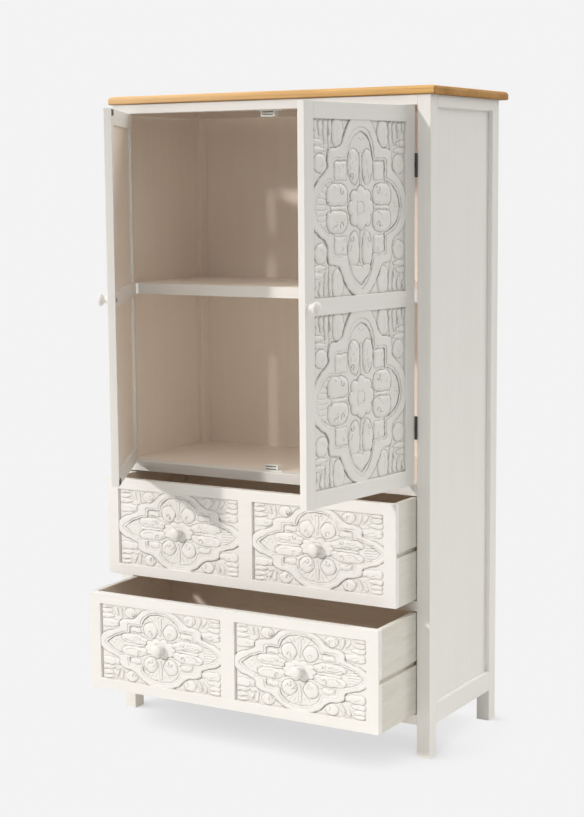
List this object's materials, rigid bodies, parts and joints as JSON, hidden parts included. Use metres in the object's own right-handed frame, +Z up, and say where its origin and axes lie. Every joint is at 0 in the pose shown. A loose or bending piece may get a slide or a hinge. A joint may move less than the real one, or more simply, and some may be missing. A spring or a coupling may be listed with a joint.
{
  "type": "cupboard",
  "caption": "Tall white painted wooden cupboard with a natural wood top, carved hinged doors over a shelf, and carved drawers on wooden runners below.",
  "frame": {"origin": "on the floor, midway between the outer faces of the four posts", "axes": "+X to the right of someone who faces the doors, +Y to the back, +Z up. At rest the left door stands 61 degrees open, the right door 81.5 degrees, the upper drawer is 92 mm out and the lower drawer 168 mm out, as pictured."},
  "size_m": [0.8, 0.7237, 1.388],
  "materials": {
    "top_wood": "clear satin varnish over light brown wood, grain along the width",
    "white_paint": "wood painted warm white, satin, lightly worn edges",
    "carved_paint": "carved wood painted warm white, with grey antiquing in the grooves",
    "knob_paint": "turned wood painted warm white, satin",
    "inside_paint": "wood board painted beige brown inside, matt",
    "drawer_paint": "wood painted warm white outside, plain brown inside",
    "drawer_inside": "plain brown wood board, matt",
    "runner_wood": "bare wood strip",
    "black_metal": "black satin enamel on steel",
    "steel": "dull zinc plated steel",
    "catch_plastic": "white moulded plastic"
  },
  "bodies": {
    "carcase": {"top_board": "top_wood", "left_front_post": "white_paint", "right_front_post": "white_paint", "left_back_post": "white_paint", "right_back_post": "white_paint", "left_side_bottom_rail": "white_paint", "right_side_bottom_rail": "white_paint", "left_side_top_rail": "white_paint", "right_side_top_rail": "white_paint", "left_side_panel": "white_paint", "right_side_panel": "white_paint", "front_bottom_rail": "white_paint", "drawer_divider_rail": "white_paint", "front_middle_rail": "white_paint", "front_top_rail": "white_paint", "back_panel": "inside_paint", "back_top_rail": "inside_paint", "compartment_floor": "inside_paint", "middle_shelf": "inside_paint", "drawer_runners": "runner_wood", "magnetic_catches": "catch_plastic", "hinge_post_leaves": "black_metal"},
    "left_door": {"left_door_hinge_stile": "white_paint", "left_door_free_stile": "white_paint", "left_door_top_rail": "white_paint", "left_door_middle_rail": "white_paint", "left_door_bottom_rail": "white_paint", "left_door_upper_carved_panel": "carved_paint", "left_door_lower_carved_panel": "carved_paint", "left_door_knob": "knob_paint", "left_door_knob_screw": "steel", "left_door_strike_plates": "steel", "left_door_hinge_leaves": "black_metal"},
    "right_door": {"right_door_hinge_stile": "white_paint", "right_door_free_stile": "white_paint", "right_door_top_rail": "white_paint", "right_door_middle_rail": "white_paint", "right_door_bottom_rail": "white_paint", "right_door_upper_carved_panel": "carved_paint", "right_door_lower_carved_panel": "carved_paint", "right_door_knob": "knob_paint", "right_door_knob_screw": "steel", "right_door_strike_plates": "steel", "right_door_hinge_leaves": "black_metal"},
    "upper_drawer": {"upper_drawer_front_frame": "white_paint", "upper_drawer_left_carved_panel": "carved_paint", "upper_drawer_right_carved_panel": "carved_paint", "upper_drawer_left_side": "drawer_paint", "upper_drawer_right_side": "drawer_paint", "upper_drawer_back": "drawer_inside", "upper_drawer_bottom": "drawer_inside", "upper_drawer_knobs": "knob_paint"},
    "lower_drawer": {"lower_drawer_front_frame": "white_paint", "lower_drawer_left_carved_panel": "carved_paint", "lower_drawer_right_carved_panel": "carved_paint", "lower_drawer_left_side": "drawer_paint", "lower_drawer_right_side": "drawer_paint", "lower_drawer_back": "drawer_inside", "lower_drawer_bottom": "drawer_inside", "lower_drawer_knobs": "knob_paint"}
  },
  "joints": [
    {"name": "left_door_hinge", "type": "hinge", "parent": "carcase", "child": "left_door", "pos_m": [-0.359, -0.1707, 0.964], "axis": [0, 0, -1], "range_deg": [-61, 109]},
    {"name": "right_door_hinge", "type": "hinge", "parent": "carcase", "child": "right_door", "pos_m": [0.359, -0.1707, 0.964], "axis": [0, 0, 1], "range_deg": [-81.5, 88.5]},
    {"name": "upper_drawer_slide", "type": "slide", "parent": "carcase", "child": "upper_drawer", "axis": [0, -1, 0], "range_m": [-0.092, 0.138]},
    {"name": "lower_drawer_slide", "type": "slide", "parent": "carcase", "child": "lower_drawer", "axis": [0, -1, 0], "range_m": [-0.168, 0.062]}
  ]
}
